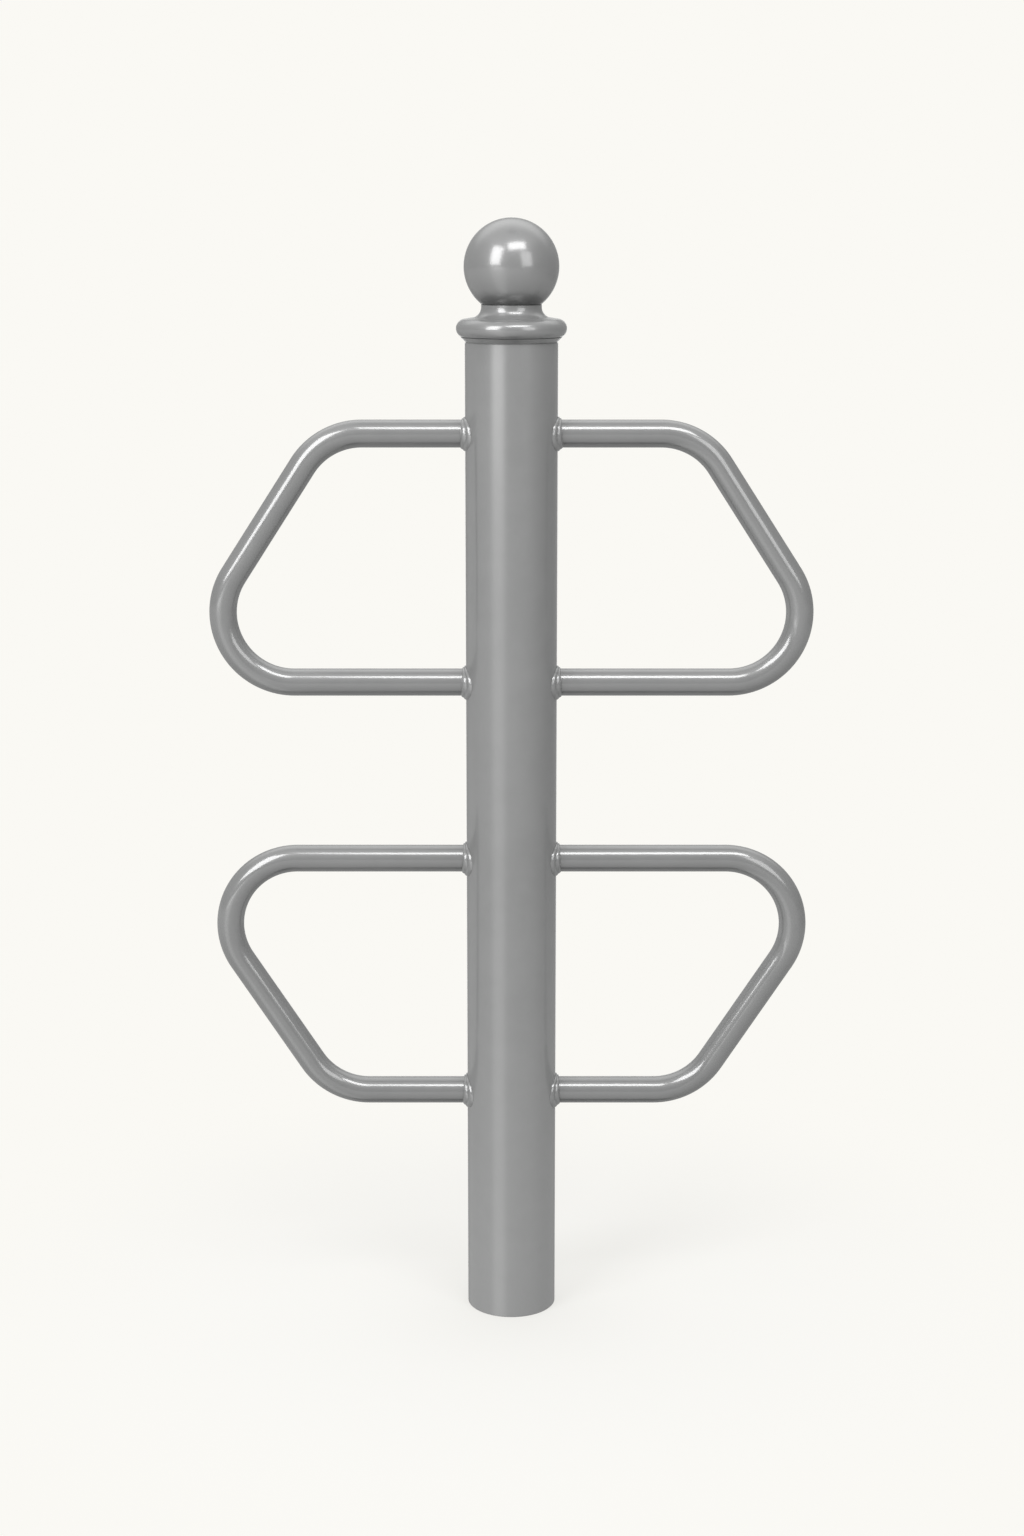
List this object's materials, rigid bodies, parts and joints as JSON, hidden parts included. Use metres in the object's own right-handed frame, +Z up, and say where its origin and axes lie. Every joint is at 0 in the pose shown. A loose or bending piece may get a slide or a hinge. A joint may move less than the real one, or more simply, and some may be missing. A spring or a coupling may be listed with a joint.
{
  "type": "two tier bike rack",
  "caption": "Round post with a ball finial and bent tube loops in two tiers on both sides, for leaning and locking bicycles.",
  "frame": {"origin": "centre of the post's foot, on the ground", "axes": "+Z up along the post, +X along the loops to the right as pictured, +Y away from the picture's viewer"},
  "size_m": [0.5868, 0.1054, 1.0907],
  "materials": {
    "post_paint": "glossy mid grey powder coat",
    "loop_paint": "glossy mid grey powder coat",
    "weld_paint": "glossy mid grey powder coat",
    "finial_paint": "glossy mid grey powder coat",
    "plain_steel": "plain mill finish",
    "plated_steel": "zinc plated"
  },
  "bodies": {
    "root": {"post_tube": "post_paint", "upper_left_loop": "loop_paint", "upper_right_loop": "loop_paint", "lower_left_loop": "loop_paint", "lower_right_loop": "loop_paint", "upper_left_long_rail_weld": "weld_paint", "upper_left_short_rail_weld": "weld_paint", "upper_right_long_rail_weld": "weld_paint", "upper_right_short_rail_weld": "weld_paint", "lower_left_long_rail_weld": "weld_paint", "lower_left_short_rail_weld": "weld_paint", "lower_right_long_rail_weld": "weld_paint", "lower_right_short_rail_weld": "weld_paint", "finial_collar": "finial_paint", "finial_ball": "finial_paint", "ball_boss": "plain_steel", "finial_stud": "plated_steel", "top_plate": "plain_steel", "top_plate_weld": "plain_steel", "top_plate_nut": "plated_steel"}
  },
  "joints": []
}
